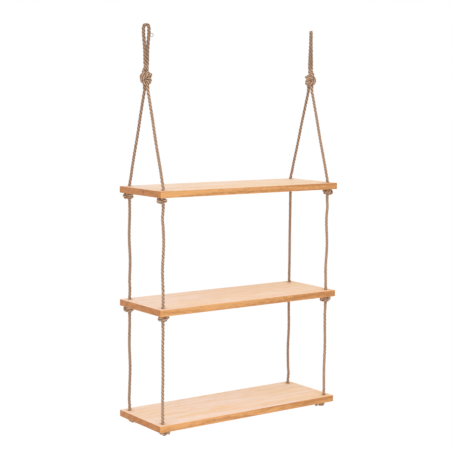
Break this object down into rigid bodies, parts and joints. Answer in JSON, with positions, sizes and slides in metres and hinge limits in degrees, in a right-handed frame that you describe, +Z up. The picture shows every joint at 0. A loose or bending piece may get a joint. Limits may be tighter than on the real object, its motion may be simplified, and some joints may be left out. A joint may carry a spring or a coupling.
{
  "type": "hanging rope shelf",
  "caption": "Hanging shelf of wooden boards strung one below the other on knotted jute ropes, each doubled at the top into a tied loop for a hook",
  "frame": {"origin": "midway between the two hooks that the loops hang over, at the height where the hooks' bars touch the loops' inner crowns", "axes": "+X along the boards to the right, +Y from the front of the boards to the back, +Z up"},
  "size_m": [0.43, 0.15, 0.7813],
  "materials": {
    "board_wood": "smooth sanded solid wood, clear finish, with golden brown edges",
    "jute_rope": "matte three-strand laid jute rope with fine loose fibres"
  },
  "bodies": {
    "hanging_loops": {"left_hanging_loop": "jute_rope", "right_hanging_loop": "jute_rope"},
    "loop_knots": {"left_loop_knot_front_strand": "jute_rope", "left_loop_knot_rear_strand": "jute_rope", "right_loop_knot_front_strand": "jute_rope", "right_loop_knot_rear_strand": "jute_rope"},
    "left_upper_ropes": {"left_front_sling_rope": "jute_rope", "left_rear_sling_rope": "jute_rope"},
    "right_upper_ropes": {"right_front_sling_rope": "jute_rope", "right_rear_sling_rope": "jute_rope"},
    "top_shelf": {"top_shelf_board": "board_wood", "left_front_top_shelf_knot": "jute_rope", "left_rear_top_shelf_knot": "jute_rope", "right_front_top_shelf_knot": "jute_rope", "right_rear_top_shelf_knot": "jute_rope"},
    "left_middle_ropes": {"left_front_middle_shelf_rope": "jute_rope", "left_rear_middle_shelf_rope": "jute_rope"},
    "right_middle_ropes": {"right_front_middle_shelf_rope": "jute_rope", "right_rear_middle_shelf_rope": "jute_rope"},
    "middle_shelf": {"middle_shelf_board": "board_wood", "left_front_middle_shelf_knot": "jute_rope", "left_rear_middle_shelf_knot": "jute_rope", "right_front_middle_shelf_knot": "jute_rope", "right_rear_middle_shelf_knot": "jute_rope"},
    "left_lower_ropes": {"left_front_bottom_shelf_rope": "jute_rope", "left_rear_bottom_shelf_rope": "jute_rope"},
    "right_lower_ropes": {"right_front_bottom_shelf_rope": "jute_rope", "right_rear_bottom_shelf_rope": "jute_rope"},
    "bottom_shelf": {"bottom_shelf_board": "board_wood", "left_front_bottom_shelf_knot": "jute_rope", "left_rear_bottom_shelf_knot": "jute_rope", "right_front_bottom_shelf_knot": "jute_rope", "right_rear_bottom_shelf_knot": "jute_rope"}
  },
  "joints": [
    {"name": "front_back_swing", "type": "hinge", "parent": "hanging_loops", "child": "loop_knots", "pos_m": [0, 0, -0.072], "axis": [1, 0, 0], "range_deg": [-25, 25]},
    {"name": "left_upper_sway", "type": "hinge", "parent": "loop_knots", "child": "left_upper_ropes", "pos_m": [-0.2005, 0, -0.11832], "axis": [0, 1, 0], "range_deg": [-20, 20]},
    {"name": "right_upper_sway", "type": "hinge", "parent": "loop_knots", "child": "right_upper_ropes", "pos_m": [0.2005, 0, -0.11832], "axis": [0, 1, 0], "range_deg": [-20, 20]},
    {"name": "top_shelf_levelling", "type": "hinge", "parent": "left_upper_ropes", "child": "top_shelf", "pos_m": [-0.2005, 0, -0.3017], "axis": [0, 1, 0], "range_deg": [-20, 20]},
    {"name": "left_middle_sway", "type": "hinge", "parent": "top_shelf", "child": "left_middle_ropes", "pos_m": [-0.2005, 0, -0.3384], "axis": [0, 1, 0], "range_deg": [-20, 20]},
    {"name": "right_middle_sway", "type": "hinge", "parent": "top_shelf", "child": "right_middle_ropes", "pos_m": [0.2005, 0, -0.3384], "axis": [0, 1, 0], "range_deg": [-20, 20]},
    {"name": "middle_shelf_levelling", "type": "hinge", "parent": "left_middle_ropes", "child": "middle_shelf", "pos_m": [-0.2005, 0, -0.5247], "axis": [0, 1, 0], "range_deg": [-20, 20]},
    {"name": "left_lower_sway", "type": "hinge", "parent": "middle_shelf", "child": "left_lower_ropes", "pos_m": [-0.2005, 0, -0.5614], "axis": [0, 1, 0], "range_deg": [-20, 20]},
    {"name": "right_lower_sway", "type": "hinge", "parent": "middle_shelf", "child": "right_lower_ropes", "pos_m": [0.2005, 0, -0.5614], "axis": [0, 1, 0], "range_deg": [-20, 20]},
    {"name": "bottom_shelf_levelling", "type": "hinge", "parent": "left_lower_ropes", "child": "bottom_shelf", "pos_m": [-0.2005, 0, -0.7477], "axis": [0, 1, 0], "range_deg": [-20, 20]}
  ],
  "couplings": [
    {"joint": "right_upper_sway", "follows": "left_upper_sway", "ratio": 1},
    {"joint": "top_shelf_levelling", "follows": "left_upper_sway", "ratio": -1},
    {"joint": "right_middle_sway", "follows": "left_middle_sway", "ratio": 1},
    {"joint": "middle_shelf_levelling", "follows": "left_middle_sway", "ratio": -1},
    {"joint": "right_lower_sway", "follows": "left_lower_sway", "ratio": 1},
    {"joint": "bottom_shelf_levelling", "follows": "left_lower_sway", "ratio": -1}
  ]
}
